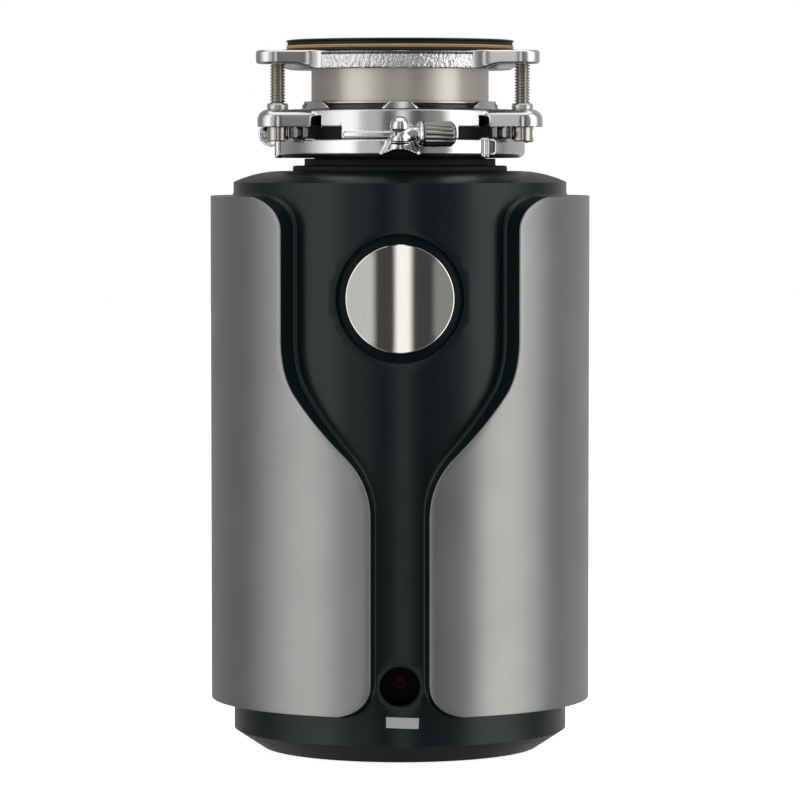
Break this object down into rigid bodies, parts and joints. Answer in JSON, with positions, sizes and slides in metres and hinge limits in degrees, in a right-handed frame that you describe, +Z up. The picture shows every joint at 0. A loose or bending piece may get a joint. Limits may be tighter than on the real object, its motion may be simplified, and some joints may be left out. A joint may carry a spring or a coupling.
{
  "type": "food waste disposer",
  "caption": "Under-sink food waste disposer with a bolted sink mount, locking ring, swivel impellers on a spinning turntable, and a reset button.",
  "frame": {"origin": "on the axis at the bottom face that it stands on", "axes": "+Z up along the axis, front with the badge and reset button towards -Y, outlet and inlet towards +Y"},
  "size_m": [0.19, 0.2072, 0.3546],
  "materials": {
    "polished_steel": "polished stainless steel",
    "satin_steel": "plain zinc plated and stainless steel",
    "bright_chrome": "bright chrome over a casting",
    "black_rubber": "matt black rubber",
    "fibre": "pressed fibre",
    "black_plastic": "satin black moulded plastic",
    "grey_metal": "satin titanium grey sheet metal",
    "badge_steel": "bright turned steel",
    "red_plastic": "gloss red",
    "white_label": "white sticker, bare",
    "dark_plastic": "dark glass filled plastic",
    "foam": "sound absorbing foam",
    "cast_alloy": "die cast alloy",
    "lamination": "stacked steel laminations",
    "winding": "enamelled copper wire",
    "hard_steel": "ground stainless steel",
    "white_plastic": "moulded white plastic"
  },
  "bodies": {
    "housing": {"sink_flange": "polished_steel", "flange_gasket": "black_rubber", "fibre_gasket": "fibre", "backup_flange": "bright_chrome", "mounting_ring": "bright_chrome", "snap_ring": "satin_steel", "mounting_screws": "satin_steel", "screw_collars": "satin_steel", "splash_guard": "black_rubber", "throat_collar": "black_rubber", "top_cover": "black_plastic", "body_shell": "black_plastic", "left_cheek": "black_plastic", "right_cheek": "black_plastic", "left_panel": "grey_metal", "right_panel": "grey_metal", "badge_disc": "badge_steel", "bottom_cover": "black_plastic", "cover_screws": "satin_steel", "reset_guard": "black_plastic", "overload_protector": "dark_plastic", "reset_label": "white_label", "cable_gland": "black_plastic", "gland_nut": "black_plastic", "terminal_block": "white_plastic", "earth_screw": "satin_steel", "run_capacitor": "white_plastic", "capacitor_clip": "satin_steel", "hopper": "dark_plastic", "hopper_gasket": "black_rubber", "chamber_screws": "satin_steel", "shredder_ring": "hard_steel", "insulation_jacket": "foam", "discharge_chamber": "cast_alloy", "outlet_gasket": "black_rubber", "discharge_spout": "black_plastic", "outlet_screws": "satin_steel", "dishwasher_inlet": "black_plastic", "lower_end_bell": "cast_alloy", "through_bolts": "satin_steel", "stator_core": "lamination", "stator_winding": "winding", "bearing_outer_races": "hard_steel", "bearing_balls": "hard_steel", "shaft_seal": "black_rubber"},
    "lock_ring": {"lock_ring": "bright_chrome"},
    "lock_pin": {"lock_pin": "satin_steel"},
    "lock_knob": {"lock_knob": "bright_chrome"},
    "reset_button": {"reset_button": "red_plastic"},
    "rotor": {"shaft": "hard_steel", "turntable": "hard_steel", "impeller_rivets": "hard_steel", "turntable_nut": "satin_steel", "rotor_core": "lamination", "rotor_end_rings": "cast_alloy", "bearing_inner_races": "hard_steel", "slinger": "black_rubber"},
    "front_impeller": {"front_impeller": "hard_steel"},
    "rear_impeller": {"rear_impeller": "hard_steel"}
  },
  "joints": [
    {"name": "rotor_spin", "type": "hinge", "parent": "housing", "child": "rotor", "pos_m": [0, 0, 0.11], "axis": [0, 0, 1], "continuous": true},
    {"name": "front_impeller_swing", "type": "hinge", "parent": "rotor", "child": "front_impeller", "pos_m": [0, -0.042, 0.2228], "axis": [0, 0, 1], "continuous": true},
    {"name": "rear_impeller_swing", "type": "hinge", "parent": "rotor", "child": "rear_impeller", "pos_m": [0, 0.042, 0.2228], "axis": [0, 0, 1], "continuous": true},
    {"name": "lock_ring_turn", "type": "hinge", "parent": "housing", "child": "lock_ring", "pos_m": [0, 0, 0.3], "axis": [0, 0, 1], "range_deg": [-35, 0]},
    {"name": "lock_screw_travel", "type": "slide", "parent": "lock_ring", "child": "lock_pin", "axis": [0.9659, 0.2588, 0], "range_m": [0, 0.00625]},
    {"name": "lock_knob_turn", "type": "hinge", "parent": "lock_pin", "child": "lock_knob", "pos_m": [0.01449, -0.06912, 0.3075], "axis": [0.9659, 0.2588, 0], "range_deg": [0, 1800]},
    {"name": "reset_button_press", "type": "slide", "parent": "housing", "child": "reset_button", "axis": [0, 1, 0], "range_m": [0, 0.0025], "stiffness_N_per_m": 300}
  ],
  "couplings": [
    {"joint": "lock_knob_turn", "follows": "lock_screw_travel", "rad_per_m": 5026.5}
  ]
}
